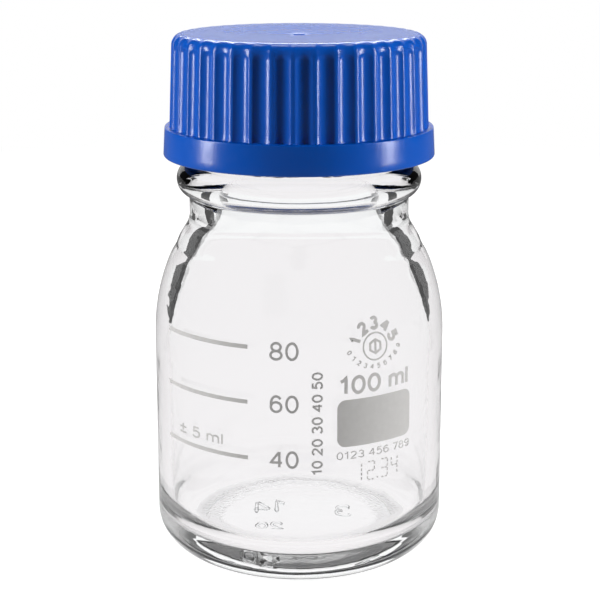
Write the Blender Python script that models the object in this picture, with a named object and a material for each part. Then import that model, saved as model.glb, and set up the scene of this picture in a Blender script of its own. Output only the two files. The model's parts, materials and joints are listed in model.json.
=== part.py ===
"""Laboratory reagent bottle for 100 ml, with a pouring ring and a ribbed screw cap.

+Z is up. The origin is on the bottle's axis, on the plane it stands on, and -Y is the front.
Sizes are in millimetres and become metres where the meshes are made.
An outline is a list of (radius, height) points.
"""

import math

import bmesh
import bpy

MM = 0.001

# Glass body
BODY_RADIUS = 28.1  # at the foot of the shoulder
BODY_DRAFT = 0.2  # the mould is this much wider just above the heel
WALL = 2.8
HEEL_ARC = 7.0
FLOOR_THICKNESS = 4.8  # at the floor's edge
FLOOR_RISE = 1.2  # of the floor's centre
INNER_HEEL_ARC = 7.5
STAND_WIDTH = 2.8  # flat ring that touches the table
PUSH_UP = 1.2  # rise of the underside's centre
SHOULDER_FOOT = 43.0
SHOULDER_ARC = 38.0
INNER_SHOULDER_FOOT = 38.0  # the glass is thickest in the shoulder
INNER_SHOULDER_ARC = 44.0

# Neck
NECK_RADIUS = 21.0
NECK_FILLET = 5.0
INNER_NECK_FILLET = 24.0
BORE_RADIUS = 15.0
BEAD_RADIUS = 23.35
BEAD_ARC = 3.2
BEAD_HEIGHT = 73.2
LIP_TOP = 95.6
LIP_RADIUS = 19.4
LIP_ROUND = 1.2
LIP_DEPTH = 3.7  # from the lip's top to the chamfer under it
GROOVE_RADIUS = 18.7
GROOVE_TOP = 91.3
GROOVE_FOOT = 90.0

# Thread: right-hand, one start
PITCH = 4.0
THREAD_ROOT = 20.6
THREAD_CREST = 22.1
THREAD_TOP = 89.4  # end of the threaded part of the neck
THREAD_START = 79.6
THREAD_TURNS = 1.75
CAP_THREAD_DROP = 1.7  # the cap's ridge lies this far below the bottle's
CAP_THREAD_CREST = 21.1
CAP_THREAD_FIRST = 0.4  # turns between the starts of the two ridges
CAP_THREAD_TURNS = 1.5
RIDGE_FOOT, RIDGE_FLANK, RIDGE_TOP = 1.25, 0.9, 0.4  # half widths from the foot up
RIDGE_SINK = 0.4  # how far a ridge's foot lies inside the wall
RIDGE_FADE = 40.0  # degrees over which a ridge rises from the wall
RIDGE_END = 0.2  # share of the ridge's height that is left at its ends
RIDGE_STEPS = 24  # sections in a turn

# Pouring ring
RING_OUTER = 20.7
RING_BORE = 16.3
RING_FOOT = 90.3
RING_TOP = 97.0
RING_RIM = 0.4
GAP = 0.35  # between pieces that touch

# Screw cap
CAP_FOOT = 77.6
CAP_TOP = 100.4
CAP_INNER = 22.5
CAP_CEILING = 98.0
FLANGE_TOP = 83.15
FLANGE_RADIUS = 25.75
FLANGE_DRAFT = 0.3
RIB_RADIUS = 24.5
RIB_DRAFT = 0.65
RIBS = 40
FLUTE_DEPTH = 0.55
FLUTE_HALF_WIDTH = 0.41  # of one rib pitch
FLUTE_END = 99.1
SCALLOP_DEPTH = 0.3  # the flutes run on over the top corner this deep
FIRST_RIB = -0.27  # of one rib pitch, from the front
CAP_CORNER = 2.1
RECESS_RADIUS = 15.4
RECESS_FLOOR_RADIUS = 11.8
RECESS_DEPTH = 0.4
GATE_RADIUS = 1.9
GATE_DEPTH = 0.5
SEAL_RADIUS = 18.2
SEAL_HALF_WIDTH = 0.6

# Enamel marks
ENAMEL_GAP = 0.3
ENAMEL_THICKNESS = 0.3
GRADUATIONS = {"graduation_line_80": 47.1, "graduation_line_60": 36.8, "graduation_line_40": 26.1}
GRADUATION_ANGLES = (-60.0, -19.3)  # degrees round the axis from the front
GRADUATION_WIDTH = 0.75
LABEL_ANGLES = (14.2, 46.6)
LABEL_HEIGHTS = (28.2, 37.2)
LABEL_CORNER = 0.9

SIDES = 48


def clear_scene():
    for thing in list(bpy.data.objects):
        bpy.data.objects.remove(thing, do_unlink=True)


def arc(radius, height, size, start, end, steps):
    """Points on an arc about (radius, height), from start to end in degrees."""
    points = []
    for step in range(steps + 1):
        angle = math.radians(start + (end - start) * step / steps)
        points.append((radius + size * math.cos(angle), height + size * math.sin(angle)))
    return points


def shoulder(side, foot, size, neck, fillet, steps):
    """A shoulder arc that leaves the wall upright and a fillet that ends upright at the neck."""
    arc_centre = side - size
    fillet_centre = neck + fillet
    reach = size + fillet
    rise = math.sqrt(reach**2 - (fillet_centre - arc_centre) ** 2)
    lean = math.degrees(math.asin(rise / reach))
    lower = arc(arc_centre, foot, size, 0, lean, steps)
    upper = arc(fillet_centre, foot + rise, fillet, 180 + lean, 180, steps // 2)
    return lower + upper[1:]


def dome(edge, height, rise, steps):
    """A shallow dome from its centre out to the edge radius."""
    radii = [edge * step / steps for step in range(steps)]
    return [(radius, height + rise * (1 - (radius / edge) ** 2)) for radius in radii]


def bottle_outside():
    heel_radius = BODY_RADIUS + BODY_DRAFT
    heel_centre = heel_radius - HEEL_ARC
    bead_centre = BEAD_RADIUS - BEAD_ARC
    bead_foot = -math.degrees(math.acos((NECK_RADIUS - bead_centre) / BEAD_ARC))
    bead_top = math.degrees(math.acos((THREAD_ROOT - bead_centre) / BEAD_ARC))
    outline = dome(heel_centre - STAND_WIDTH, 0, PUSH_UP, 3)
    outline += [(heel_centre - STAND_WIDTH, 0)]
    outline += arc(heel_centre, HEEL_ARC, HEEL_ARC, -90, 0, 6)
    outline += shoulder(BODY_RADIUS, SHOULDER_FOOT, SHOULDER_ARC, NECK_RADIUS, NECK_FILLET, 6)
    outline += arc(bead_centre, BEAD_HEIGHT, BEAD_ARC, bead_foot, bead_top, 7)
    outline += [(THREAD_ROOT, THREAD_TOP), (GROOVE_RADIUS, GROOVE_FOOT)]
    outline += [(GROOVE_RADIUS, GROOVE_TOP), (LIP_RADIUS, LIP_TOP - LIP_DEPTH)]
    outline += arc(LIP_RADIUS - LIP_ROUND, LIP_TOP - LIP_ROUND, LIP_ROUND, 0, 90, 3)
    return outline


def bottle_inside():
    """From the lip down the bore and the inner wall to the middle of the floor."""
    wall_radius = BODY_RADIUS + BODY_DRAFT - WALL
    heel_centre = wall_radius - INNER_HEEL_ARC
    outline = arc(BORE_RADIUS + LIP_ROUND, LIP_TOP - LIP_ROUND, LIP_ROUND, 90, 180, 3)
    inner_radius = BODY_RADIUS - WALL
    flare = shoulder(
        inner_radius, INNER_SHOULDER_FOOT, INNER_SHOULDER_ARC, BORE_RADIUS, INNER_NECK_FILLET, 6
    )
    outline += flare[::-1]
    outline += arc(heel_centre, FLOOR_THICKNESS + INNER_HEEL_ARC, INNER_HEEL_ARC, 0, -90, 4)
    outline += dome(heel_centre, FLOOR_THICKNESS, FLOOR_RISE, 3)[::-1]
    return outline


def ring_section():
    """The pouring ring's section, anticlockwise: skirt, top web with a raised rim, snap bead."""
    skirt = LIP_RADIUS + GAP
    bead = GROOVE_RADIUS + GAP
    web = LIP_TOP + GAP
    return [
        (RING_OUTER, RING_FOOT),
        (RING_OUTER, RING_TOP - 0.3),
        (RING_OUTER - 0.3, RING_TOP),
        (RING_BORE + 2 * RING_RIM, RING_TOP),
        (RING_BORE + RING_RIM, RING_TOP + RING_RIM),
        (RING_BORE, RING_TOP + RING_RIM),
        (RING_BORE, web),
        (skirt, web),
        (skirt, GROOVE_TOP + GAP - 0.1),
        (bead, GROOVE_TOP - GAP),
        (bead, RING_FOOT),
    ]


def seat(mesh, lift):
    """Moves the mesh down by lift, so that an object placed at that height holds its origin there."""
    for vertex in mesh.vertices:
        vertex.co.z -= lift * MM


def new_object(name, bm, material, lift=0.0, sharp=30.0):
    """An object on the bottle's axis, with its origin at the height lift."""
    bmesh.ops.recalc_face_normals(bm, faces=bm.faces)
    mesh = bpy.data.meshes.new(name)
    bm.to_mesh(mesh)
    bm.free()
    seat(mesh, lift)
    mesh.shade_smooth()
    mesh.set_sharp_from_angle(angle=math.radians(sharp))
    if material:
        mesh.materials.append(material)
    thing = bpy.data.objects.new(name, mesh)
    thing.location.z = lift * MM
    bpy.context.scene.collection.objects.link(thing)
    return thing


def vertex_at(bm, radius, angle, height):
    """A vertex at an angle round the axis from the front, anticlockwise seen from above."""
    across, back = radius * math.sin(angle), -radius * math.cos(angle)
    return bm.verts.new((across * MM, back * MM, height * MM))


def ring_of_points(bm, radius, height, angles):
    """One vertex on the axis, or a ring of them; radius is a number or a function of the angle."""
    if radius == 0:
        return [vertex_at(bm, 0, 0, height)]
    reaches = [radius(angle) if callable(radius) else radius for angle in angles]
    return [vertex_at(bm, reach, angle, height) for reach, angle in zip(reaches, angles)]


def join_rings(bm, first, second):
    """Faces between two rings, or between a ring and a point on the axis."""
    count = max(len(first), len(second))
    for step in range(count):
        after = (step + 1) % count
        corners = [first[step % len(first)], first[after % len(first)]]
        corners += [second[after % len(second)], second[step % len(second)]]
        bm.faces.new(list(dict.fromkeys(corners)))


def turned(levels, angles, looped=False):
    """A turned solid. Its levels, (radius, height), start and end on the axis or form a loop."""
    bm = bmesh.new()
    rings = [ring_of_points(bm, radius, height, angles) for radius, height in levels]
    pairs = zip(rings, rings[1:] + rings[:1]) if looped else zip(rings, rings[1:])
    for first, second in pairs:
        join_rings(bm, first, second)
    return bm


def even_angles(sides):
    return [math.tau * step / sides for step in range(sides)]


def ridge(root, crest, start, turns, first=0.0):
    """A thread ridge on a helix through height start on the right. It begins after first turns.

    Its foot lies inside the wall, and its ends fade into it.
    """
    foot = root - RIDGE_SINK if crest > root else root + RIDGE_SINK
    shape = [(foot, RIDGE_FOOT), ((root + crest) / 2, RIDGE_FLANK), (crest, RIDGE_TOP)]
    section = [(reach, -half) for reach, half in shape] + [(reach, half) for reach, half in shape[::-1]]
    steps = round(turns * RIDGE_STEPS)
    bm = bmesh.new()
    loops = []
    for step in range(steps + 1):
        wound = turns * step / steps
        from_end = 360 * min(wound, turns - wound)
        swell = RIDGE_END + (1 - RIDGE_END) * min(1.0, from_end / RIDGE_FADE)
        loop = []
        for reach, off in section:
            radius = foot + (reach - foot) * swell
            height = start + PITCH * (first + wound) + off
            loop.append(vertex_at(bm, radius, math.tau * (first + wound + 0.25), height))
        loops.append(loop)
    for one, other in zip(loops, loops[1:]):
        join_rings(bm, one, other)
    bm.faces.new(loops[0])
    bm.faces.new(loops[-1][::-1])
    return bm


def helper(name, bm, lift=0.0):
    """A cutter or an added shape, which takes part in Booleans only."""
    thing = new_object(name, bm, None, lift)
    thing.hide_render = True
    thing.display_type = "WIRE"
    return thing


def combine(thing, other, operation):
    modifier = thing.modifiers.new(other.name, "BOOLEAN")
    modifier.operation = operation
    modifier.solver = "EXACT"
    modifier.object = other


def plastic(name, color, roughness):
    material = bpy.data.materials.new(name)
    material.use_nodes = True
    shader = material.node_tree.nodes["Principled BSDF"]
    shader.inputs["Base Color"].default_value = (*color, 1.0)
    shader.inputs["Roughness"].default_value = roughness
    shader.inputs["Metallic"].default_value = 0.0
    return material


def clear_glass():
    material = plastic("clear_glass", (0.95, 0.96, 0.97), 0.02)
    shader = material.node_tree.nodes["Principled BSDF"]
    shader.inputs["Transmission Weight"].default_value = 1.0
    shader.inputs["IOR"].default_value = 1.47
    return material


def glass_bottle():
    levels = bottle_outside() + bottle_inside()
    bottle = new_object("glass_bottle", turned(levels, even_angles(SIDES)), clear_glass())
    thread = ridge(THREAD_ROOT, THREAD_CREST, THREAD_START, THREAD_TURNS)
    combine(bottle, helper("bottle_thread", thread), "UNION")


def pouring_ring():
    ring = turned(ring_section(), even_angles(SIDES), looped=True)
    new_object("pouring_ring", ring, plastic("ring_blue", (0.0, 0.06, 0.42), 0.35), RING_FOOT)


def rib_angles():
    """Angles of the points round the ribs: both edges of each rib and three across each flute."""
    pitch = math.tau / RIBS
    edge = 0.5 - FLUTE_HALF_WIDTH
    parts = (-edge, edge, 0.28, 0.5, 0.72)
    return [(rib + FIRST_RIB + part) * pitch for rib in range(RIBS) for part in parts]


def fluted(land, depth):
    """Radius as a function of the angle, with a rounded flute between each two ribs."""

    def radius(angle):
        part = (angle * RIBS / math.tau - FIRST_RIB) % 1.0
        across = abs(part - 0.5) / FLUTE_HALF_WIDTH
        return land - depth * max(0.0, 1.0 - across**2)

    return radius


def cap_outside():
    """Levels of the cap's outside: band, ledge, ribs, and the rounded corner under a flat top."""
    corner_centre = RIB_RADIUS - RIB_DRAFT - CAP_CORNER
    corner_foot = CAP_TOP - CAP_CORNER
    levels = [(FLANGE_RADIUS - 0.4, CAP_FOOT), (FLANGE_RADIUS, CAP_FOOT + 0.4)]
    levels += [(FLANGE_RADIUS - FLANGE_DRAFT, FLANGE_TOP - 0.3)]
    levels += [(FLANGE_RADIUS - FLANGE_DRAFT - 0.3, FLANGE_TOP)]
    for height in (FLANGE_TOP + 0.1, FLUTE_END - 1.2):
        along = (height - FLANGE_TOP) / (corner_foot - FLANGE_TOP)
        levels.append((fluted(RIB_RADIUS - RIB_DRAFT * along, FLUTE_DEPTH), height))
    for radius, height in arc(corner_centre, corner_foot, CAP_CORNER, 20, 90, 3):
        levels.append((fluted(radius, SCALLOP_DEPTH), height))
    return levels


def cap_core():
    """The space under the cap, with the groove that leaves the lip seal standing."""
    seal_tip = RING_TOP + GAP
    return [
        (0, CAP_CEILING),
        (SEAL_RADIUS - SEAL_HALF_WIDTH - 0.3, CAP_CEILING),
        (SEAL_RADIUS - SEAL_HALF_WIDTH, seal_tip),
        (SEAL_RADIUS + SEAL_HALF_WIDTH, seal_tip),
        (SEAL_RADIUS + SEAL_HALF_WIDTH + 0.3, CAP_CEILING),
        (CAP_INNER - 0.5, CAP_CEILING),
        (CAP_INNER, CAP_CEILING - 0.5),
        (CAP_INNER, CAP_FOOT + 1.0),
        (CAP_INNER + 0.8, CAP_FOOT - 1.0),
        (0, CAP_FOOT - 1.0),
    ]


def top_recess():
    """The shallow round recess on the cap's top, with the gate mark in its middle."""
    floor = CAP_TOP - RECESS_DEPTH
    return [
        (0, floor - GATE_DEPTH),
        (GATE_RADIUS - 0.4, floor - GATE_DEPTH),
        (GATE_RADIUS, floor),
        (RECESS_FLOOR_RADIUS, floor),
        (2 * RECESS_RADIUS - RECESS_FLOOR_RADIUS, CAP_TOP + RECESS_DEPTH),
        (0, CAP_TOP + RECESS_DEPTH),
    ]


def screw_cap():
    outside = cap_outside()
    foot = (0, outside[0][1])
    top = (0, outside[-1][1])
    blank = turned([foot, *outside, top], rib_angles())
    cap = new_object("screw_cap", blank, plastic("cap_blue", (0.0, 0.07, 0.45), 0.32), CAP_FOOT)
    combine(cap, helper("cap_core", turned(cap_core(), even_angles(SIDES)), CAP_FOOT), "DIFFERENCE")
    combine(cap, helper("cap_recess", turned(top_recess(), even_angles(SIDES)), CAP_TOP), "DIFFERENCE")
    start = THREAD_START - CAP_THREAD_DROP
    thread = ridge(CAP_INNER, CAP_THREAD_CREST, start, CAP_THREAD_TURNS, CAP_THREAD_FIRST)
    combine(cap, helper("cap_thread", thread), "UNION")


def enamel_patch(name, angles, heights, corner, material):
    """A thin curved plate just off the glass, between two angles and two heights."""
    inner = BODY_RADIUS + BODY_DRAFT + ENAMEL_GAP
    width = math.radians(angles[1] - angles[0]) * inner
    rounding = [corner * (1 - math.cos(math.radians(turn))) for turn in (0, 30, 60)] if corner else []
    middle = [corner + (width - 2 * corner) * step / 8 for step in range(9)]
    places = rounding + middle + [width - place for place in rounding[::-1]]
    bm = bmesh.new()
    columns = []
    for place in places:
        short = corner - min(place, width - place, corner)
        sag = corner - math.sqrt(corner**2 - short**2)
        angle = math.radians(angles[0]) + place / inner
        outer = inner + ENAMEL_THICKNESS
        low, high = heights[0] + sag, heights[1] - sag
        corners = ((inner, low), (inner, high), (outer, high), (outer, low))
        columns.append([vertex_at(bm, reach, angle, height) for reach, height in corners])
    for first, second in zip(columns, columns[1:]):
        join_rings(bm, first, second)
    bm.faces.new(columns[0])
    bm.faces.new(columns[-1][::-1])
    new_object(name, bm, material)


def enamel_marks():
    enamel = plastic("enamel_grey", (0.55, 0.55, 0.54), 0.5)
    for name, height in GRADUATIONS.items():
        heights = (height - GRADUATION_WIDTH / 2, height + GRADUATION_WIDTH / 2)
        enamel_patch(name, GRADUATION_ANGLES, heights, 0.0, enamel)
    enamel_patch("label_field", LABEL_ANGLES, LABEL_HEIGHTS, LABEL_CORNER, enamel)


clear_scene()
glass_bottle()
pouring_ring()
screw_cap()
enamel_marks()
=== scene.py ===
"""Looks of the 100 ml reagent bottle: clear glass, fired enamel print, pouring ring, ribbed blue cap.

Lengths are in millimetres until a mesh is made. Heights are above the plane the bottle stands on,
and angles go round its axis from the front, anticlockwise seen from above.
"""

import json
import math

import bmesh
import bpy
import numpy as np
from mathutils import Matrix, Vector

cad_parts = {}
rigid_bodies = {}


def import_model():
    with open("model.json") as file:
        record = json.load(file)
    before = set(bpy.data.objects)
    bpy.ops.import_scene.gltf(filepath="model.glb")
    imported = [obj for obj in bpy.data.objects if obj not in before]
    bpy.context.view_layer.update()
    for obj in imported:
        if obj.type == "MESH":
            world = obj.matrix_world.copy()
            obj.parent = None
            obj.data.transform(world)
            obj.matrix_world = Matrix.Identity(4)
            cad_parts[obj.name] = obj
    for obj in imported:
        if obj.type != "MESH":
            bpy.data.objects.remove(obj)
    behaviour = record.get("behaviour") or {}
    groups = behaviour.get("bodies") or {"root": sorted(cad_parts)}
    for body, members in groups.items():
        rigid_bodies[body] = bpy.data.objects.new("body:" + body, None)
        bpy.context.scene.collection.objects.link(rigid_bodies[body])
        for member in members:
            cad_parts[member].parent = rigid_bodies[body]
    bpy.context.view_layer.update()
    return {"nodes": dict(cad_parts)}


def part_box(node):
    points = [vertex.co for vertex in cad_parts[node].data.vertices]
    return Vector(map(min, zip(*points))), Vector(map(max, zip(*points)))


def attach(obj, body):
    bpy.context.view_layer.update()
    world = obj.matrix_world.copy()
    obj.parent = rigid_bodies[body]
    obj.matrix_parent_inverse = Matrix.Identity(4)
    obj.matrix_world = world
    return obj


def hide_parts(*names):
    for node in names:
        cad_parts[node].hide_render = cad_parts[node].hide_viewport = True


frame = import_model()

MM = 0.001


def node_size(node):
    """A CAD node's widest radius, its lowest height and its highest, in millimetres."""
    low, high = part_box(node)
    return high.x / MM, low.z / MM, high.z / MM


# Glass
HEEL_RADIUS, _, LIP_TOP = node_size("glass_bottle")
BODY_RADIUS = HEEL_RADIUS - 0.2  # at the foot of the shoulder
WALL = 2.8
HEEL_ARC = 7.0
FLOOR = 4.8  # at the floor's edge
FLOOR_RISE = 1.2  # of the floor's centre
INNER_HEEL_ARC = 7.5
STAND_WIDTH = 2.8  # flat ring that touches the table
STAND_BEVEL, STAND_EDGE = 0.6, 0.05  # at the ring's inner side
PUSH_UP = 1.2  # rise of the underside's centre
SHOULDER_FOOT, SHOULDER_ARC = 43.0, 38.0
INNER_SHOULDER_FOOT, INNER_SHOULDER_ARC = 38.0, 44.0
NECK_RADIUS, NECK_FILLET = 21.0, 5.0
BORE_RADIUS, INNER_NECK_FILLET = 15.0, 24.0
SEAM_DEPTH, SEAM_HEIGHT, SEAM_WIDTH = 0.2, 60.2, 1.1  # the soft groove where the neck mould met the body's
BEAD_RADIUS, BEAD_ARC, BEAD_HEIGHT = 23.35, 3.2, 73.2
CREASE = 0.35  # round, where the neck meets the bead
LIP_RADIUS, LIP_ROUND, LIP_DEPTH = 19.4, 1.2, 3.7
GROOVE_RADIUS, GROOVE_FOOT, GROOVE_TOP = 18.7, 90.0, 91.3
LIP_FOOT_ROUND = 0.3
STIPPLE_TOP, STIPPLE_ROUGHNESS = 0.5, 0.4  # the underside is stippled up to this height

# Thread
PITCH = 4.0
THREAD_ROOT, THREAD_CREST, THREAD_TOP = 20.6, 22.1, 89.4
THREAD_START, THREAD_TURNS = 79.6, 1.75
CAP_THREAD_DROP, CAP_THREAD_CREST = 1.7, 21.1
CAP_THREAD_FIRST, CAP_THREAD_TURNS, CAP_THREAD_TOP = 0.4, 1.5, 86.5
RIDGE_FOOT, RIDGE_TOP = 1.2, 0.35  # half widths
RIDGE_FADE = 9  # how steeply a ridge's ends run out
THREAD_STEP = 0.25  # height between the rings of points that follow a ridge
THREAD_END_ROUND = 0.4

# Pouring ring
RING_OUTER, RING_FOOT, RING_TOP = node_size("pouring_ring")
RING_RIM = 0.4
RING_BORE = 16.3
RING_FOOT_ROUND, RING_TOP_ROUND, RIM_ROUND, RIM_CREASE = 0.15, 0.3, 0.2, 0.1
GAP = 0.35

# Cap
FLANGE_RADIUS, CAP_FOOT, CAP_TOP = node_size("screw_cap")
CAP_INNER = 22.5
CAP_CEILING = 98.0
FLANGE_TOP, FLANGE_DRAFT = 83.15, 0.3
FLANGE_FOOT_ROUND, FLANGE_TOP_ROUND = 0.4, 0.25
MOUTH_CHAMFER, MOUTH_HEIGHT = 0.8, 1.0
RIB_RADIUS, RIB_DRAFT = 24.5, 0.65
RIBS = 40
FIRST_RIB = -0.27
FLUTE_DEPTH, FLUTE_HALF_WIDTH, FLUTE_END = 0.55, 0.41, 99.1
SCALLOP_DEPTH = 0.3
FLUTE_CROWD = 1.6  # the levels crowd from this far under the flutes' ends
CAP_CORNER, CEILING_CORNER = 2.1, 0.5
TOP_FLAT_RADIUS = 20.6
RECESS_RADIUS, RECESS_FLOOR_RADIUS, RECESS_DEPTH = 15.4, 11.8, 0.4
GATE_RADIUS, GATE_DEPTH, GATE_WALL = 1.9, 0.5, 0.6
GATE_STUB_RADIUS, GATE_STUB_DEPTH = 0.4, 0.12
SEAL_RADIUS, SEAL_HALF_WIDTH, SEAL_DRAFT = 18.2, 0.6, 0.3

# Print
PRINT_LIFT = 0.02
PRINT_THICKNESS = 0.05
STROKE_STEP = 0.5  # the longest straight run in a stroke, so that it bends with the glass
STROKE_RISE = 0.004  # between crossing strokes
MITRE = 0.6  # the smallest cosine that a stroke's corner is mitred by
FIELD_CORNER, FIELD_TIP = 1.6, 0.1
SCALE_ANGLE, SCALE_HEIGHT, SCALE_WIDTH, SCALE_WEIGHT = -10.9, 3.4, 5.3, 0.46  # the graduations' numerals
EMBLEM_ANGLE, EMBLEM_HEIGHT = 29.5, 46.6
DIAL_RADIUS, DIAL_WEIGHT = 2.5, 0.3
HEXAGON_RADIUS, HEXAGON_BAR, HEXAGON_WEIGHT = 1.25, 1.1, 0.42
BOLD_RADIUS, BOLD_START, BOLD_STEP = 3.0, 160, 35  # the arc over the dial
BOLD_HEIGHT, BOLD_WIDTH, BOLD_ONE_WIDTH, BOLD_WEIGHT = 2.5, 1.9, 1.1, 0.6
SMALL_RADIUS, SMALL_RISE, SMALL_START, SMALL_STEP = 6.5, 2.3, 209, 13.5  # the flatter arc under it
SMALL_HEIGHT, SMALL_WIDTH, SMALL_WEIGHT = 1.0, 0.72, 0.2
CODE_ANGLE, CODE_FOOT = 22.2, 21.2
CODE_WIDTH, CODE_HALF_HEIGHT, CODE_WEIGHT = 1.45, 1.75, 0.24
DOT_ALONG, DOT_HEIGHT = 4.2, 0.3
MARK_WEIGHT, MARK_PROUD, MARK_DEPTH, MARK_TAPER = 0.7, 0.25, 0.12, 0.25  # the numerals under the base


# Outlines


def arc(radius, height, size, start, end, steps):
    """Points on an arc about (radius, height), from start to end in degrees."""
    angles = np.radians(np.linspace(start, end, steps + 1))
    return [(radius + size * math.cos(a), height + size * math.sin(a)) for a in angles]


def straight(first, last, step):
    """Points between two points, about step apart, both ends left out."""
    count = max(1, round(math.dist(first, last) / step))
    shares = [place / count for place in range(1, count)]
    return [(first[0] + (last[0] - first[0]) * s, first[1] + (last[1] - first[1]) * s) for s in shares]


def shoulder(side, foot, size, neck, fillet, steps):
    """A shoulder arc that leaves the wall upright and a fillet that ends upright at the neck."""
    arc_centre = side - size
    fillet_centre = neck + fillet
    reach = size + fillet
    rise = math.sqrt(reach**2 - (fillet_centre - arc_centre) ** 2)
    lean = math.degrees(math.asin(rise / reach))
    lower = arc(arc_centre, foot, size, 0, lean, steps)
    upper = arc(fillet_centre, foot + rise, fillet, 180 + lean, 180, steps // 2)
    return lower + upper[1:]


def dome(edge, height, rise, steps):
    """A shallow dome from its centre out to the edge radius."""
    radii = [edge * step / steps for step in range(steps)]
    return [(radius, height + rise * (1 - (radius / edge) ** 2)) for radius in radii]


def seam(height):
    """Depth of the groove at the shoulder, at a height."""
    return SEAM_DEPTH * math.exp(-(((height - SEAM_HEIGHT) / SEAM_WIDTH) ** 2))


def glass_outside():
    """From the middle of the underside out and up to the top of the bead."""
    heel_centre = HEEL_RADIUS - HEEL_ARC
    stand = heel_centre - STAND_WIDTH
    outline = dome(stand, 0, PUSH_UP, 16)
    outline += arc(stand + STAND_BEVEL, STAND_EDGE, STAND_EDGE, 180, 270, 2)
    outline += arc(heel_centre, HEEL_ARC, HEEL_ARC, -90, 0, 32)
    outline += straight((HEEL_RADIUS, HEEL_ARC), (BODY_RADIUS, SHOULDER_FOOT), 3.0)
    slope = shoulder(BODY_RADIUS, SHOULDER_FOOT, SHOULDER_ARC, NECK_RADIUS, NECK_FILLET, 60)
    outline += [(radius - seam(height), height) for radius, height in slope]
    bead_centre = BEAD_RADIUS - BEAD_ARC
    bead_foot = -math.degrees(math.acos((NECK_RADIUS + CREASE - bead_centre) / BEAD_ARC))
    crease_height = BEAD_HEIGHT + BEAD_ARC * math.sin(math.radians(bead_foot)) - CREASE
    outline += arc(NECK_RADIUS + CREASE, crease_height, CREASE, 180, 95, 5)
    outline += arc(bead_centre, BEAD_HEIGHT, BEAD_ARC, bead_foot, 76, 36)
    return outline


def glass_lip():
    """From the end of the thread over the snap groove to the lip."""
    outline = arc(THREAD_ROOT - THREAD_END_ROUND, THREAD_TOP - 0.1, THREAD_END_ROUND, 0, 70, 4)
    outline += [(GROOVE_RADIUS, GROOVE_FOOT), (GROOVE_RADIUS, GROOVE_TOP)]
    outline += arc(LIP_RADIUS - LIP_FOOT_ROUND, LIP_TOP - LIP_DEPTH, LIP_FOOT_ROUND, -50, 0, 3)
    outline += arc(LIP_RADIUS - LIP_ROUND, LIP_TOP - LIP_ROUND, LIP_ROUND, 0, 90, 10)
    return outline


def glass_inside():
    """From the lip down the bore and the inner wall to the middle of the floor."""
    wall_radius = HEEL_RADIUS - WALL
    heel_centre = wall_radius - INNER_HEEL_ARC
    inner_radius = BODY_RADIUS - WALL
    outline = arc(BORE_RADIUS + LIP_ROUND, LIP_TOP - LIP_ROUND, LIP_ROUND, 90, 180, 10)
    flare = shoulder(
        inner_radius, INNER_SHOULDER_FOOT, INNER_SHOULDER_ARC, BORE_RADIUS, INNER_NECK_FILLET, 36
    )[::-1]
    outline += straight(outline[-1], flare[0], 2.0) + flare
    heel = arc(heel_centre, FLOOR + INNER_HEEL_ARC, INNER_HEEL_ARC, 0, -90, 28)
    outline += straight(flare[-1], heel[0], 2.5) + heel
    return outline + dome(heel_centre, FLOOR, FLOOR_RISE, 16)[::-1]


def glass_radius(height):
    """The radius of the bottle's outside at a height on its body or shoulder."""
    outline = [point for point in glass_outside() if HEEL_ARC <= point[1] <= BEAD_HEIGHT - BEAD_ARC]
    return np.interp(height, [h for _, h in outline], [r for r, _ in outline])


# Meshes


def new_piece(name, points, faces, material, body, sharp=35.0):
    """A mesh piece from points in millimetres, smooth up to the sharp angle. It rides on a body."""
    mesh = bpy.data.meshes.new(name)
    mesh.from_pydata((np.asarray(points) * MM).tolist(), [], faces)
    mesh.validate()
    mesh.update()
    mesh.shade_smooth()
    mesh.set_sharp_from_angle(angle=math.radians(sharp))
    mesh.materials.append(material)
    piece = bpy.data.objects.new(name, mesh)
    bpy.context.scene.collection.objects.link(piece)
    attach(piece, body)
    return piece


def revolved(levels, angles):
    """Points and faces of a turned surface.

    Each level is (radius, height). A radius is a number or an array over the angles, and 0 is a
    point on the axis. Angles are measured from +X.
    """
    points, faces, rings = [], [], []
    count = len(angles)
    for radius, height in levels:
        start = len(points)
        if np.isscalar(radius) and radius == 0:
            points.append((0.0, 0.0, height))
            rings.append([start] * count)
            continue
        reach = np.broadcast_to(radius, count)
        heights = np.full(count, height)
        points.extend(zip(reach * np.cos(angles), reach * np.sin(angles), heights))
        rings.append(list(range(start, start + count)))
    for first, second in zip(rings, rings[1:]):
        for step in range(count):
            after = (step + 1) % count
            corners = (first[step], first[after], second[after], second[step])
            faces.append(list(dict.fromkeys(corners)))
    return points, faces


def even_angles(sides):
    """So many angles evenly round the axis."""
    return np.linspace(0, math.tau, sides, endpoint=False)


def ridge_height(angles, height, start, first, turns):
    """How far a thread ridge stands up, from 0 to 1, at each angle of one height."""
    best = np.zeros(len(angles))
    for turn in range(math.ceil(first + turns) + 1):
        wound = angles / math.tau + turn
        inside = (wound >= first) & (wound <= first + turns)
        from_end = np.minimum(wound - first, first + turns - wound)
        fade = np.clip(from_end * RIDGE_FADE, 0, 1)
        off = np.abs(height - (start + PITCH * wound))
        rise = np.clip((RIDGE_FOOT - off) / (RIDGE_FOOT - RIDGE_TOP), 0, 1)
        best = np.maximum(best, inside * fade * rise * rise * (3 - 2 * rise))
    return best


# Materials


def new_material(name):
    """A material, its node tree and its Principled shader."""
    material = bpy.data.materials.new(name)
    material.use_nodes = True
    return material, material.node_tree, material.node_tree.nodes["Principled BSDF"]


def noise(tree, scale, detail):
    """Noise over the object's own coordinates."""
    place = tree.nodes.new("ShaderNodeTexCoord")
    texture = tree.nodes.new("ShaderNodeTexNoise")
    texture.inputs["Scale"].default_value = scale
    texture.inputs["Detail"].default_value = detail
    tree.links.new(place.outputs["Object"], texture.inputs["Vector"])
    return texture.outputs["Fac"]


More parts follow.
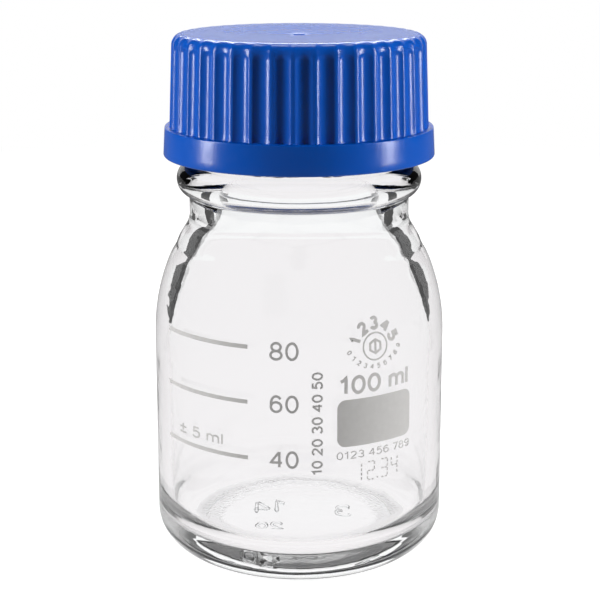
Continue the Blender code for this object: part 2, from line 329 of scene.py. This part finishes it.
def spread(tree, value, start, end, low=0.0, high=1.0):
    """The value, as it goes from start to end, spread from low to high."""
    node = tree.nodes.new("ShaderNodeMapRange")
    node.inputs["From Min"].default_value = start
    node.inputs["From Max"].default_value = end
    node.inputs["To Min"].default_value = low
    node.inputs["To Max"].default_value = high
    tree.links.new(value, node.inputs["Value"])
    return node.outputs["Result"]


def remap(tree, value, low, high):
    """The noise's middle range spread from low to high."""
    return spread(tree, value, 0.3, 0.7, low, high)


def mixed(tree, value, first, second):
    """A colour between first and second."""
    node = tree.nodes.new("ShaderNodeMix")
    node.data_type = "RGBA"
    node.inputs["A"].default_value = (*first, 1.0)
    node.inputs["B"].default_value = (*second, 1.0)
    tree.links.new(value, node.inputs["Factor"])
    return node.outputs["Result"]


def bump(tree, shader, height, strength, distance, under=None):
    """Ripples the shader's surface by the height, on top of the ripples under it."""
    node = tree.nodes.new("ShaderNodeBump")
    node.inputs["Strength"].default_value = strength
    node.inputs["Distance"].default_value = distance
    tree.links.new(height, node.inputs["Height"])
    if under:
        tree.links.new(under.outputs["Normal"], node.inputs["Normal"])
    tree.links.new(node.outputs["Normal"], shader.inputs["Normal"])
    return node


def glass_material():
    """Clear borosilicate glass with the faint waviness of a blown wall and a stippled ring to stand on."""
    material, tree, shader = new_material("clear_glass")
    shader.inputs["Base Color"].default_value = (0.985, 0.99, 0.992, 1.0)
    shader.inputs["IOR"].default_value = 1.47
    shader.inputs["Transmission Weight"].default_value = 1.0
    place = tree.nodes.new("ShaderNodeTexCoord")
    split = tree.nodes.new("ShaderNodeSeparateXYZ")
    tree.links.new(place.outputs["Object"], split.inputs["Vector"])
    top, full = STIPPLE_TOP * MM, STIPPLE_TOP / 2 * MM
    stipple = spread(tree, split.outputs["Z"], top, full, high=STIPPLE_ROUGHNESS)
    tree.links.new(stipple, shader.inputs["Roughness"])
    waves = bump(tree, shader, noise(tree, scale=200.0, detail=2.0), strength=0.22, distance=0.0002)
    grain = noise(tree, scale=1600.0, detail=1.0)
    pits = bump(tree, shader, grain, strength=0.0, distance=0.0002, under=waves)
    tree.links.new(stipple, pits.inputs["Strength"])
    return material


def cap_material():
    """Moulded blue polypropylene: satin gloss, slightly cloudy, with a fine moulded grain."""
    material, tree, shader = new_material("cap_blue")
    cloud = noise(tree, scale=160.0, detail=3.0)
    tree.links.new(mixed(tree, cloud, (0.0, 0.083, 0.49), (0.0, 0.093, 0.53)), shader.inputs["Base Color"])
    patches = noise(tree, scale=700.0, detail=4.0)
    tree.links.new(remap(tree, patches, low=0.2, high=0.27), shader.inputs["Roughness"])
    shader.inputs["IOR"].default_value = 1.49
    shader.inputs["Specular IOR Level"].default_value = 0.36
    bump(tree, shader, noise(tree, scale=1500.0, detail=3.0), strength=0.05, distance=0.00003)
    return material


def ring_material():
    """The pouring ring's softer, matter blue."""
    material, tree, shader = new_material("ring_blue")
    cloud = noise(tree, scale=220.0, detail=3.0)
    tree.links.new(mixed(tree, cloud, (0.0, 0.07, 0.42), (0.01, 0.09, 0.5)), shader.inputs["Base Color"])
    patches = noise(tree, scale=900.0, detail=3.0)
    tree.links.new(remap(tree, patches, low=0.3, high=0.42), shader.inputs["Roughness"])
    bump(tree, shader, noise(tree, scale=2600.0, detail=3.0), strength=0.15, distance=0.00006)
    return material


def enamel_material():
    """Fired grey enamel: matt, a little uneven in tone, with a fine grain."""
    material, tree, shader = new_material("grey_enamel")
    cloud = noise(tree, scale=900.0, detail=4.0)
    tree.links.new(mixed(tree, cloud, (0.54, 0.53, 0.52), (0.61, 0.6, 0.59)), shader.inputs["Base Color"])
    patches = noise(tree, scale=3000.0, detail=3.0)
    tree.links.new(remap(tree, patches, low=0.6, high=0.75), shader.inputs["Roughness"])
    shader.inputs["Specular IOR Level"].default_value = 0.3
    bump(tree, shader, noise(tree, scale=5000.0, detail=2.0), strength=0.25, distance=0.00003)
    return material


# Glass bottle and ring


def glass_bottle(material):
    """The glass as one closed surface, with the thread's ridge on its neck."""
    angles = even_angles(192)
    levels = glass_outside()
    height = levels[-1][1]
    while height + THREAD_STEP < THREAD_TOP - 0.2:
        height += THREAD_STEP
        raised = ridge_height(angles, height, THREAD_START, 0.0, THREAD_TURNS)
        levels.append((THREAD_ROOT + (THREAD_CREST - THREAD_ROOT) * raised, height))
    levels += glass_lip() + glass_inside()
    points, faces = revolved(levels, angles)
    piece = new_piece("bottle_glass", points, faces, material, "bottle")
    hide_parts("glass_bottle")


def ring_outline():
    """The pouring ring's section: skirt, top web with a raised rim, snap bead. It is a loop."""
    skirt = LIP_RADIUS + GAP
    bead = GROOVE_RADIUS + GAP
    web = LIP_TOP + GAP
    top = RING_TOP - RING_RIM
    foot, shoulder_round = RING_FOOT_ROUND, RING_TOP_ROUND
    outline = arc(RING_OUTER - foot, RING_FOOT + foot, foot, -90, 0, 3)
    outline += arc(RING_OUTER - shoulder_round, top - shoulder_round, shoulder_round, 0, 90, 5)
    outline += arc(RING_BORE + 2.2 * RING_RIM, top + RIM_CREASE, RIM_CREASE, 270, 200, 3)
    outline += arc(RING_BORE + RIM_ROUND, RING_TOP - RIM_ROUND, RIM_ROUND, 20, 180, 6)
    outline += [(RING_BORE, web), (skirt, web)]
    outline += [(skirt, GROOVE_TOP + GAP - 0.1), (bead, GROOVE_TOP - GAP)]
    outline += arc(bead + foot, RING_FOOT + foot, foot, 180, 270, 3)
    return outline


def pouring_ring(material):
    """The ring that snaps over the lip."""
    outline = ring_outline()
    points, faces = revolved(outline + outline[:1], even_angles(144))
    piece = new_piece("ring_moulding", points, faces, material, "ring")
    weld(piece)
    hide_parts("pouring_ring")


def weld(piece):
    """Joins the points that lie on each other and turns the faces outwards."""
    bm = bmesh.new()
    bm.from_mesh(piece.data)
    bmesh.ops.remove_doubles(bm, verts=bm.verts, dist=1e-7)
    bmesh.ops.recalc_face_normals(bm, faces=bm.faces)
    bm.to_mesh(piece.data)
    bm.free()


# Screw cap


def rib_angles():
    """Angles round the cap, from +X, crowded at the edges of the ribs."""
    parts = (-0.09, 0.0, 0.09, 0.125, 0.145, 0.17, 0.22, 0.3, 0.4, 0.5)
    parts += tuple(1 - part for part in parts[8:2:-1])
    places = [rib + FIRST_RIB + part for rib in range(RIBS) for part in parts]
    return np.array(places) * math.tau / RIBS - math.pi / 2


def across_flute(angles):
    """How far each angle is from the middle of its flute, 1 at the flute's edge."""
    part = ((angles + math.pi / 2) * RIBS / math.tau - FIRST_RIB) % 1.0
    return np.abs(part - 0.5) / FLUTE_HALF_WIDTH


def flute_depth(angles, height):
    """Depth of the flutes at a height: a round hollow with an arched end, and a scallop above it."""
    across = across_flute(angles)
    arch = FLUTE_HALF_WIDTH * math.tau * RIB_RADIUS / RIBS
    up = max(0.0, (height - (FLUTE_END - arch)) / arch)
    hollow = FLUTE_DEPTH * np.clip(1.0 - across**2 - up**2, 0, 1)
    scallop = SCALLOP_DEPTH * np.clip(1.0 - across**2, 0, 1)
    return np.maximum(hollow, scallop)


def cap_outside(angles):
    """From the foot up the plain band and the ribs, and over the top corner."""
    corner_foot = CAP_TOP - CAP_CORNER
    corner_centre = RIB_RADIUS - RIB_DRAFT - CAP_CORNER
    band = FLANGE_RADIUS - FLANGE_DRAFT
    foot, top = FLANGE_FOOT_ROUND, FLANGE_TOP_ROUND
    levels = arc(FLANGE_RADIUS - foot, CAP_FOOT + foot, foot, -90, 0, 5)
    levels += straight(levels[-1], (band, FLANGE_TOP - top), 1.2)
    levels += arc(band - top, FLANGE_TOP - top, top, 0, 90, 4)
    walls = [(RIB_RADIUS + 0.1, FLANGE_TOP + 0.02), (RIB_RADIUS, FLANGE_TOP + 0.15)]
    end = (RIB_RADIUS - RIB_DRAFT, corner_foot)
    walls += straight(walls[-1], end, 1.4)
    walls = [(radius, height) for radius, height in walls if height < FLUTE_END - FLUTE_CROWD]
    walls += straight(walls[-1], end, 0.12) + arc(corner_centre, corner_foot, CAP_CORNER, 0, 88, 26)
    for radius, height in walls:
        levels.append((radius - flute_depth(angles, height), height))
    return levels


def cap_top():
    """From the flat rim in over the recess to the gate mark in the middle."""
    floor = CAP_TOP - RECESS_DEPTH
    levels = [(TOP_FLAT_RADIUS, CAP_TOP), (RECESS_RADIUS + 0.5, CAP_TOP), (RECESS_RADIUS, CAP_TOP - 0.03)]
    levels += [(RECESS_FLOOR_RADIUS, floor + 0.03), (RECESS_FLOOR_RADIUS - 0.5, floor)]
    levels += [(GATE_RADIUS + 0.1, floor), (GATE_RADIUS - 0.1, floor - 0.08)]
    levels += [(GATE_RADIUS - GATE_WALL, floor - GATE_DEPTH), (GATE_STUB_RADIUS + 0.15, floor - GATE_DEPTH)]
    return levels + [(GATE_STUB_RADIUS, floor - GATE_STUB_DEPTH), (0, floor - GATE_STUB_DEPTH + 0.02)]


def cap_inside(angles):
    """From the foot up the threaded wall to the ceiling with its lip seal."""
    height = CAP_FOOT + MOUTH_HEIGHT
    levels = [(CAP_INNER + MOUTH_CHAMFER, CAP_FOOT), (CAP_INNER, height)]
    start = THREAD_START - CAP_THREAD_DROP
    turned = (angles + math.tau) % math.tau
    while height < CAP_THREAD_TOP:
        height += THREAD_STEP
        raised = ridge_height(turned, height, start, CAP_THREAD_FIRST, CAP_THREAD_TURNS)
        levels.append((CAP_INNER - (CAP_INNER - CAP_THREAD_CREST) * raised, height))
    levels += arc(CAP_INNER - CEILING_CORNER, CAP_CEILING - CEILING_CORNER, CEILING_CORNER, 0, 90, 3)
    tip = RING_TOP - RING_RIM + GAP
    outer, inner = SEAL_RADIUS + SEAL_HALF_WIDTH, SEAL_RADIUS - SEAL_HALF_WIDTH
    levels += [(outer + SEAL_DRAFT, CAP_CEILING), (outer, tip)]
    levels += [(inner, tip), (inner - SEAL_DRAFT, CAP_CEILING)]
    return levels + [(0, CAP_CEILING)]


def screw_cap(material):
    """The cap as one closed surface: inside, ribbed wall and top."""
    angles = rib_angles()
    levels = cap_inside(angles)[::-1] + cap_outside(angles) + cap_top()
    points, faces = revolved(levels, angles)
    piece = new_piece("cap_moulding", points, faces, material, "cap", sharp=42.0)
    weld(piece)
    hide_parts("screw_cap")


# Print


def bend(x, y, wide, tall, start, end):
    """Points on an ellipse's arc, from start to end in degrees."""
    angles = np.radians(np.linspace(start, end, max(2, round(abs(end - start) / 15)) + 1))
    return [(x + wide * math.cos(a), y + tall * math.sin(a)) for a in angles]


SIX = [bend(0.52, 0.5, 0.5, 0.5, 40, 185), bend(0.5, 0.31, 0.48, 0.31, 0, 360)]
NUMERALS = {  # a letter's width for its height, and its strokes in a box from (0, 0) to (1, 1)
    "0": (0.66, [bend(0.5, 0.5, 0.5, 0.5, 0, 360)]),
    "1": (0.4, [[(0.0, 0.76), (0.4, 0.84), (0.75, 1.0), (0.75, 0.0)]]),
    "2": (0.66, [bend(0.5, 0.71, 0.46, 0.29, 165, -30) + [(0.02, 0.0), (1.0, 0.0)]]),
    "3": (0.66, [bend(0.47, 0.75, 0.43, 0.25, 155, -88), bend(0.47, 0.26, 0.5, 0.26, 88, -158)]),
    "4": (0.7, [[(0.76, 0.0), (0.76, 1.0)], [(0.72, 0.98), (0.0, 0.3), (1.0, 0.3)]]),
    "5": (0.66, [[(0.9, 1.0), (0.2, 1.0), (0.12, 0.5)], bend(0.46, 0.33, 0.52, 0.33, 133, -155)]),
    "6": (0.66, SIX),
    "7": (0.64, [[(0.0, 1.0), (1.0, 1.0), (0.35, 0.0)]]),
    "8": (0.66, [bend(0.5, 0.76, 0.42, 0.24, 0, 360), bend(0.5, 0.26, 0.5, 0.26, 0, 360)]),
    "9": (0.66, [[(1 - x, 1 - y) for x, y in stroke] for stroke in SIX]),
    "m": (0.95, [
        [(0.0, 0.0), (0.0, 0.74)],
        bend(0.25, 0.5, 0.25, 0.22, 180, 0) + [(0.5, 0.0)],
        bend(0.75, 0.5, 0.25, 0.22, 180, 0) + [(1.0, 0.0)],
    ]),
    "l": (0.01, [[(0.0, 0.0), (0.0, 1.0)]]),
    "±": (0.7, [[(0.0, 0.6), (1.0, 0.6)], [(0.5, 0.25), (0.5, 0.95)], [(0.0, 0.05), (1.0, 0.05)]]),
    " ": (0.12, []),
}
LETTER_GAP = 0.3  # between the strokes of two letters, for their height


def written(words, height, weight, width):
    """The strokes of a line of numerals that fills a box from (0, 0) to (width, height)."""
    strokes, along = [], 0.0
    for letter in words:
        wide, lines = NUMERALS[letter]
        strokes += [[(along + x * wide, y) for x, y in line] for line in lines]
        along += wide + LETTER_GAP
    across = (width - weight) / (along - LETTER_GAP)
    inset = weight / 2
    return [[(inset + x * across, inset + y * (height - weight)) for x, y in line] for line in strokes]


def moved(strokes, foot, turn=0.0):
    """The strokes turned by so many degrees about their foot and set down at a point."""
    cos, sin = math.cos(math.radians(turn)), math.sin(math.radians(turn))
    return [
        [(foot[0] + x * cos - y * sin, foot[1] + x * sin + y * cos) for x, y in line]
        for line in strokes
    ]


def edges(line, weight):
    """The two edges of a stroke along a line, as pairs of points, and whether it is a loop."""
    closed = math.dist(line[0], line[-1]) < 1e-6
    points = list(line[:1])
    for first, second in zip(line, line[1:]):
        points += straight(first, second, STROKE_STEP) + [second]
    points = np.array(points[:-1] if closed else points)
    before, after = np.roll(points, 1, axis=0), np.roll(points, -1, axis=0)
    if not closed:
        before[0], after[-1] = 2 * points[0] - points[1], 2 * points[-1] - points[-2]
    into, out = points - before, after - points
    into /= np.linalg.norm(into, axis=1)[:, None]
    out /= np.linalg.norm(out, axis=1)[:, None]
    along = into + out
    along /= np.linalg.norm(along, axis=1)[:, None]
    across = np.stack([-along[:, 1], along[:, 0]], axis=1)
    mitre = weight / 2 / np.maximum(np.sum(along * into, axis=1), MITRE)
    return list(zip(points + across * mitre[:, None], points - across * mitre[:, None])), closed


def solid(pairs, closed, low, high, taper=0.0):
    """Points and faces of a thin solid between two edges, narrowed by the taper at its low side."""
    points, faces = [], []
    for left, right in pairs:
        lean = (right - left) * taper
        points += [(*(left + lean), low), (*(right - lean), low), (*right, high), (*left, high)]
    starts = list(range(0, len(points), 4))
    joins = list(zip(starts, starts[1:] + starts[:1]))
    for first, second in joins if closed else joins[:-1]:
        for side in range(4):
            turn = (side + 1) % 4
            faces.append((first + side, first + turn, second + turn, second + side))
    if not closed:
        faces += [tuple(start + side for side in range(4)) for start in (starts[0], starts[-1])]
    return points, faces


def gathered(solids):
    """The points and faces of several solids as one."""
    points, faces = [], []
    for some_points, some_faces in solids:
        start = len(points)
        points += some_points
        faces += [tuple(start + corner for corner in face) for face in some_faces]
    return np.array(points), faces


def on_glass(flat):
    """Wraps flat points round the bottle: x is along the front from its middle, y is the height."""
    angles = flat[:, 0] / BODY_RADIUS
    reach = glass_radius(flat[:, 1]) + PRINT_LIFT + flat[:, 2]
    return np.stack([reach * np.sin(angles), -reach * np.cos(angles), flat[:, 1]], axis=1)


def printed(name, solids, material, node=None):
    """An enamel piece on the glass, which replaces a node if one is named."""
    points, faces = gathered(solids)
    piece = new_piece(name, on_glass(points), faces, material, "bottle", sharp=30.0)
    weld(piece)
    if node:
        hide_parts(node)


def stroked(name, strokes, weight, material, node=None):
    """An enamel piece of strokes, each a hair higher than the one before where they cross."""
    solids = []
    for place, line in enumerate(strokes):
        high = PRINT_THICKNESS + STROKE_RISE * (place % 4)
        solids.append(solid(*edges(line, weight), 0.0, high))
    printed(name, solids, material, node)


def arc_length(degrees):
    """How far round the body an angle from the front is."""
    return math.radians(degrees) * BODY_RADIUS


def node_span(node):
    """The flat extent of an enamel node: its left, low, right and high edges."""
    low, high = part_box(node)
    angles = [math.atan2(vertex.co.x, -vertex.co.y) for vertex in frame["nodes"][node].data.vertices]
    return min(angles) * BODY_RADIUS, low.z / MM, max(angles) * BODY_RADIUS, high.z / MM


def graduation_line(node, material):
    """A line of the scale, as long and as thick as its node."""
    left, low, right, high = node_span(node)
    middle = (low + high) / 2
    stroked(f"{node}_print", [[(left, middle), (right, middle)]], high - low, material, node)


def label_field(material):
    """The writing field: upright slices, shorter in its round corners."""
    left, low, right, high = node_span("label_field")
    corner = [FIELD_CORNER * (1 - math.cos(math.radians(step * 15))) for step in range(7)]
    places = [left + x for x in corner] + [right - x for x in corner[::-1]]
    middle = [left + FIELD_CORNER, right - FIELD_CORNER]
    inner = [x for x, _ in straight((middle[0], 0), (middle[1], 0), STROKE_STEP)]
    pairs = []
    for x in places[:7] + inner + places[7:]:
        into = max(0.0, middle[0] - x, x - middle[1])
        short = FIELD_CORNER - math.sqrt(max(FIELD_CORNER**2 - into**2, FIELD_TIP**2))
        pairs.append((np.array([x, high - short]), np.array([x, low + short])))
    printed("label_field_print", [solid(pairs, False, 0.0, PRINT_THICKNESS)], material, "label_field")


def on_circle(x, y, radius, degrees):
    """A point on a circle about (x, y)."""
    angle = math.radians(degrees)
    return x + radius * math.cos(angle), y + radius * math.sin(angle)


def round_dial(material):
    """A plain dial: a ring with a hexagon, bold numerals over it and small ones under it."""
    x, y = arc_length(EMBLEM_ANGLE), EMBLEM_HEIGHT
    stroked("emblem_ring", [bend(x, y, DIAL_RADIUS, DIAL_RADIUS, 0, 360)], DIAL_WEIGHT, material)
    hexagon = [(x + px, y + py) for px, py in arc(0, 0, HEXAGON_RADIUS, 30, 390, 6)]
    bar = [(x, y - HEXAGON_BAR), (x, y + HEXAGON_BAR)]
    stroked("emblem_hexagon", [hexagon, bar], HEXAGON_WEIGHT, material)
    bold, small = [], []
    for place, numeral in enumerate("12345"):
        angle = BOLD_START - BOLD_STEP * place
        wide = BOLD_ONE_WIDTH if numeral == "1" else BOLD_WIDTH
        centred = moved(written(numeral, BOLD_HEIGHT, BOLD_WEIGHT, wide), (-wide / 2, 0))
        bold += moved(centred, on_circle(x, y, BOLD_RADIUS, angle), angle - 90)
    for place, numeral in enumerate("0123456789"):
        angle = SMALL_START + SMALL_STEP * place
        centred = moved(written(numeral, SMALL_HEIGHT, SMALL_WEIGHT, SMALL_WIDTH), (-SMALL_WIDTH / 2, 0))
        small += moved(centred, on_circle(x, y + SMALL_RISE, SMALL_RADIUS, angle), angle + 90)
    stroked("emblem_numerals", bold, BOLD_WEIGHT, material)
    stroked("emblem_small_numerals", small, SMALL_WEIGHT, material)


SEGMENTS = {  # the lines of a seven-segment numeral, on a grid one wide and two tall
    "a": (0, 2, 1, 2),
    "b": (1, 1, 1, 2),
    "c": (1, 0, 1, 1),
    "d": (0, 0, 1, 0),
    "e": (0, 0, 0, 1),
    "f": (0, 1, 0, 2),
    "g": (0, 1, 1, 1),
}


def dashed_number(material):
    """Four numerals of short dashes, like a coding printer's, with a dot between the pairs."""
    left, foot = arc_length(CODE_ANGLE), CODE_FOOT
    dashes = []
    for segments, along in (("bc", -0.6), ("abged", 2.1), ("abgcd", 5.0), ("fgbc", 7.4)):
        for x0, y0, x1, y1 in (SEGMENTS[segment] for segment in segments):
            for shares in ((0.08, 0.4), (0.6, 0.92)):
                dashes.append([
                    (left + along + (x0 + (x1 - x0) * share) * CODE_WIDTH,
                     foot + (y0 + (y1 - y0) * share) * CODE_HALF_HEIGHT)
                    for share in shares
                ])
    dashes.append([(left + DOT_ALONG, foot), (left + DOT_ALONG, foot + DOT_HEIGHT)])
    stroked("code_print", dashes, CODE_WEIGHT, material)


def enamel_print(material):
    """All that is printed on the glass."""
    for node in ("graduation_line_80", "graduation_line_60", "graduation_line_40"):
        graduation_line(node, material)
    label_field(material)
    for words, foot in (("80", 44.95), ("60", 35.1), ("40", 24.5)):
        strokes = written(words, SCALE_HEIGHT, SCALE_WEIGHT, SCALE_WIDTH)
        strokes = moved(strokes, (arc_length(SCALE_ANGLE), foot))
        stroked(f"numeral_{words}", strokes, SCALE_WEIGHT, material)
    for name, words, angle, foot, height, weight, width, turn in (
        ("tolerance_print", "± 5 ml", -52.5, 27.7, 2.2, 0.32, 11.2, 0),
        ("volume_print", "100 ml", 14.8, 38.1, 3.6, 0.62, 15.0, 0),
        ("number_print", "0123 456 789", 14.0, 25.8, 1.5, 0.19, 16.0, 0),
        ("side_print", "10 20 30 40 50", 8.8, 23.2, 2.05, 0.36, 19.6, 90),
    ):
        strokes = moved(written(words, height, weight, width), (arc_length(angle), foot), turn)
        stroked(name, strokes, weight, material)
    round_dial(material)
    dashed_number(material)


def base_numerals(material):
    """Numerals moulded under the base, read from below."""
    for name, words, x, y, wide, high in (
        ("base_mark_back", "14", -2.8, 0.7, 6.8, 5.6),
        ("base_mark_right", "3", 10.6, -1.2, 3.6, 5.6),
        ("base_mark_front", "20", -3.0, -8.2, 5.6, 4.2),
    ):
        strokes = written(words, high, MARK_WEIGHT, wide)
        strokes = [[(x - across, y + up) for across, up in line] for line in strokes]
        solids = [
            solid(*edges(line, MARK_WEIGHT), -MARK_PROUD, MARK_DEPTH, MARK_TAPER) for line in strokes
        ]
        points, faces = gathered(solids)
        stand = HEEL_RADIUS - HEEL_ARC - STAND_WIDTH
        points[:, 2] += PUSH_UP * (1 - (np.hypot(points[:, 0], points[:, 1]) / stand) ** 2)
        weld(new_piece(name, points, faces, material, "bottle"))


# Studio

CAMERA_PITCH = 15.13  # degrees below level
CAMERA_PLACE = (0.00018, -0.2791, 0.1241)
CAMERA_LENS = 88.6
FLOOR_REACH, FLOOR_DROP = 4.0, 0.0001  # the floor stays a hair below the glass
FLOOR_GREY, FLOOR_GLOW = 0.3, 0.9
FLOOR_FADES = (0.15, 0.5)  # from its own shading to plain white, by the distance from the bottle
BOUNCE_NEAR, BOUNCE_FAR, BOUNCE_FADES = 0.7, 0.2, (0.04, 0.2)  # what the floor sends back to the pieces
THROUGH_GLASS, THROUGH_TINT = 0.97, (0.975, 0.95, 0.958)  # the floor as it is seen through glass
ROOM_GREY, ROOM_LIGHT = 0.085, 0.02
CEILING_EDGE, CEILING_BLUR, CEILING_GREY = 0.75, 0.04, 0.97
SIDE_POWER, TOP_POWER, BACK_POWER = 4.5, 2.0, 2.1
CARD_DISTANCE, CARD_HEIGHT, CARD_MIRRORED = 1.1, 1.2, 0.02
BACKDROP_WIDTH, BACKDROP_MIRRORED = 60, 0.7
CARDS = (("back", 70, 40), ("middle", 110, 40), ("front", 155, 50))  # degrees from the back, and width
WHITE = (1.0, 1.0, 1.0)


def emission(tree, color, strength):
    """An emission shader."""
    glow = tree.nodes.new("ShaderNodeEmission")
    glow.inputs["Color"].default_value = (*color, 1.0)
    glow.inputs["Strength"].default_value = strength
    return glow.outputs["Emission"]


def glowing(name, color, strength, mirrored=None):
    """A glowing material; mirrored is its strength in reflections, where that is another."""
    material = bpy.data.materials.new(name)
    material.use_nodes = True
    tree = material.node_tree
    tree.nodes.clear()
    output = tree.nodes.new("ShaderNodeOutputMaterial")
    shown = emission(tree, color, strength)
    if mirrored:
        path = tree.nodes.new("ShaderNodeLightPath")
        reflected = tree.nodes.new("ShaderNodeMath")  # a ray through glass counts as glossy too
        reflected.operation = "SUBTRACT"
        reflected.use_clamp = True
        tree.links.new(path.outputs["Is Glossy Ray"], reflected.inputs[0])
        tree.links.new(path.outputs["Is Transmission Ray"], reflected.inputs[1])
        shown = choose(tree, reflected.outputs["Value"], shown, emission(tree, color, mirrored))
    tree.links.new(shown, output.inputs["Surface"])
    return material


def choose(tree, factor, first, second):
    """The first shader where the factor is 0, the second where it is 1."""
    mix = tree.nodes.new("ShaderNodeMixShader")
    tree.links.new(factor, mix.inputs["Fac"])
    tree.links.new(first, mix.inputs[1])
    tree.links.new(second, mix.inputs[2])
    return mix.outputs["Shader"]


def floor_material():
    """A pale floor: grey shading by the bottle and plain white farther off.

    It glows evenly where it is seen through glass, and lights the pieces from near the bottle most.
    """
    material, tree, shader = new_material("pale_floor")
    shader.inputs["Base Color"].default_value = (FLOOR_GREY, FLOOR_GREY, FLOOR_GREY, 1.0)
    shader.inputs["Roughness"].default_value = 0.9
    shader.inputs["Specular IOR Level"].default_value = 0.0
    shader.inputs["Emission Color"].default_value = (*WHITE, 1.0)
    shader.inputs["Emission Strength"].default_value = FLOOR_GLOW
    place = tree.nodes.new("ShaderNodeTexCoord")
    reach = tree.nodes.new("ShaderNodeVectorMath")
    reach.operation = "LENGTH"
    tree.links.new(place.outputs["Object"], reach.inputs[0])
    distance = reach.outputs["Value"]
    near, far = emission(tree, WHITE, BOUNCE_NEAR), emission(tree, WHITE, BOUNCE_FAR)
    bounce = choose(tree, spread(tree, distance, *BOUNCE_FADES), near, far)
    glass = emission(tree, THROUGH_TINT, THROUGH_GLASS)
    path = tree.nodes.new("ShaderNodeLightPath")
    unseen = choose(tree, path.outputs["Is Transmission Ray"], bounce, glass)
    white = emission(tree, WHITE, 1.0)
    shown = choose(tree, spread(tree, distance, *FLOOR_FADES), shader.outputs["BSDF"], white)
    seen = choose(tree, path.outputs["Is Camera Ray"], unseen, shown)
    tree.links.new(seen, tree.nodes["Material Output"].inputs["Surface"])
    return material


def sheet(name, corners, material):
    """A flat piece of the stage."""
    mesh = bpy.data.meshes.new(name)
    mesh.from_pydata(corners, [], [tuple(range(len(corners)))])
    mesh.materials.append(material)
    thing = bpy.data.objects.new(name, mesh)
    bpy.context.scene.collection.objects.link(thing)
    return thing


def soft_light(name, place, aim, size, power, lit):
    """A rectangular area light at place, aimed at a point. It lights only lit, unless that is None."""
    light = bpy.data.lights.new(name, "AREA")
    light.shape = "RECTANGLE"
    light.size, light.size_y = size
    light.energy = power
    thing = bpy.data.objects.new(name, light)
    thing.location = place
    thing.visible_transmission = False
    direction = np.array(aim) - np.array(place)
    flat = math.hypot(direction[0], direction[1])
    thing.rotation_euler = (math.atan2(flat, -direction[2]), 0, math.atan2(-direction[0], direction[1]))
    bpy.context.scene.collection.objects.link(thing)
    if lit:
        thing.light_linking.receiver_collection = lit


def standing_card(name, middle, width, material):
    """An upright card, its middle and its width in degrees round the bottle from the back."""
    corners = []
    for side, top in ((-0.5, 0), (0.5, 0), (0.5, 1), (-0.5, 1)):
        angle = math.radians(middle + side * width)
        across, back = CARD_DISTANCE * math.sin(angle), CARD_DISTANCE * math.cos(angle)
        corners.append((across, back, top * CARD_HEIGHT))
    return sheet(name, corners, material)


def overhead(tree):
    """The room's grey all round and white from CEILING_EDGE upwards, as a direction's height."""
    place = tree.nodes.new("ShaderNodeTexCoord")
    split = tree.nodes.new("ShaderNodeSeparateXYZ")
    tree.links.new(place.outputs["Generated"], split.inputs["Vector"])
    top = CEILING_EDGE + CEILING_BLUR
    return spread(tree, split.outputs["Z"], CEILING_EDGE, top, ROOM_GREY, CEILING_GREY)


def background(tree, grey):
    """A background shader."""
    node = tree.nodes.new("ShaderNodeBackground")
    node.inputs["Color"].default_value = (grey, grey, grey, 1.0)
    return node


def room():
    """White where the camera sees it, grey with a white ceiling through glass, and dark otherwise."""
    world = bpy.data.worlds.new("studio")
    world.use_nodes = True
    tree = world.node_tree
    tree.nodes.clear()
    shown, dark, through = background(tree, 1.0), background(tree, ROOM_LIGHT), background(tree, 1.0)
    tree.links.new(overhead(tree), through.inputs["Color"])
    path = tree.nodes.new("ShaderNodeLightPath")
    output = tree.nodes.new("ShaderNodeOutputWorld")
    shown, dark, through = (node.outputs["Background"] for node in (shown, dark, through))
    unseen = choose(tree, path.outputs["Is Transmission Ray"], dark, through)
    seen = choose(tree, path.outputs["Is Camera Ray"], unseen, shown)
    tree.links.new(seen, output.inputs["Surface"])
    bpy.context.scene.world = world


def studio():
    """Floor, white cards, lights and room. The side lights leave the clear glass out."""
    sides = ((-1, -1), (1, -1), (1, 1), (-1, 1))
    corners = [(x * FLOOR_REACH, y * FLOOR_REACH, -FLOOR_DROP) for x, y in sides]
    sheet("floor", corners, floor_material())
    standing_card("backdrop", 0, BACKDROP_WIDTH, glowing("backdrop_white", WHITE, 1.0, BACKDROP_MIRRORED))
    white = glowing("card_white", WHITE, 1.0, CARD_MIRRORED)
    for side, name in ((-1, "left_card"), (1, "right_card")):
        for part, middle, width in CARDS:
            card = standing_card(f"{name}_{part}", side * middle, width, white)
            card.visible_diffuse = False
    opaque = bpy.data.collections.new("opaque")
    for thing in bpy.context.scene.objects:
        if thing.type == "MESH" and not thing.name.startswith(("bottle_glass", "base_mark")):
            opaque.objects.link(thing)
    for name, place, aim, size, power, lit in (
        ("left_box", (-0.62, -0.1, 0.25), (0, 0, 0.07), (0.12, 0.5), SIDE_POWER, opaque),
        ("right_box", (0.62, -0.12, 0.25), (0, 0, 0.07), (0.14, 0.5), SIDE_POWER, opaque),
        ("top_box", (0, 0.2, 0.8), (0, 0, 0), (0.35, 0.25), TOP_POWER, None),
        ("back_box", (0, 0.5, 0.45), (0, 0, 0.1), (0.5, 0.1), BACK_POWER, None),
    ):
        soft_light(name, place, aim, size, power, lit)
    room()


def camera():
    """The camera in front, a little above the cap."""
    lens = bpy.data.cameras.new("camera")
    lens.lens = CAMERA_LENS
    lens.sensor_width = 36.0
    lens.clip_start = 0.01
    thing = bpy.data.objects.new("camera", lens)
    thing.location = CAMERA_PLACE
    thing.rotation_euler = (math.radians(90 - CAMERA_PITCH), 0, 0)
    bpy.context.scene.collection.objects.link(thing)
    bpy.context.scene.camera = thing
    bpy.context.scene.view_settings.view_transform = "Standard"


glass = glass_material()
glass_bottle(glass)
base_numerals(glass)
pouring_ring(ring_material())
screw_cap(cap_material())
enamel_print(enamel_material())
studio()
camera()
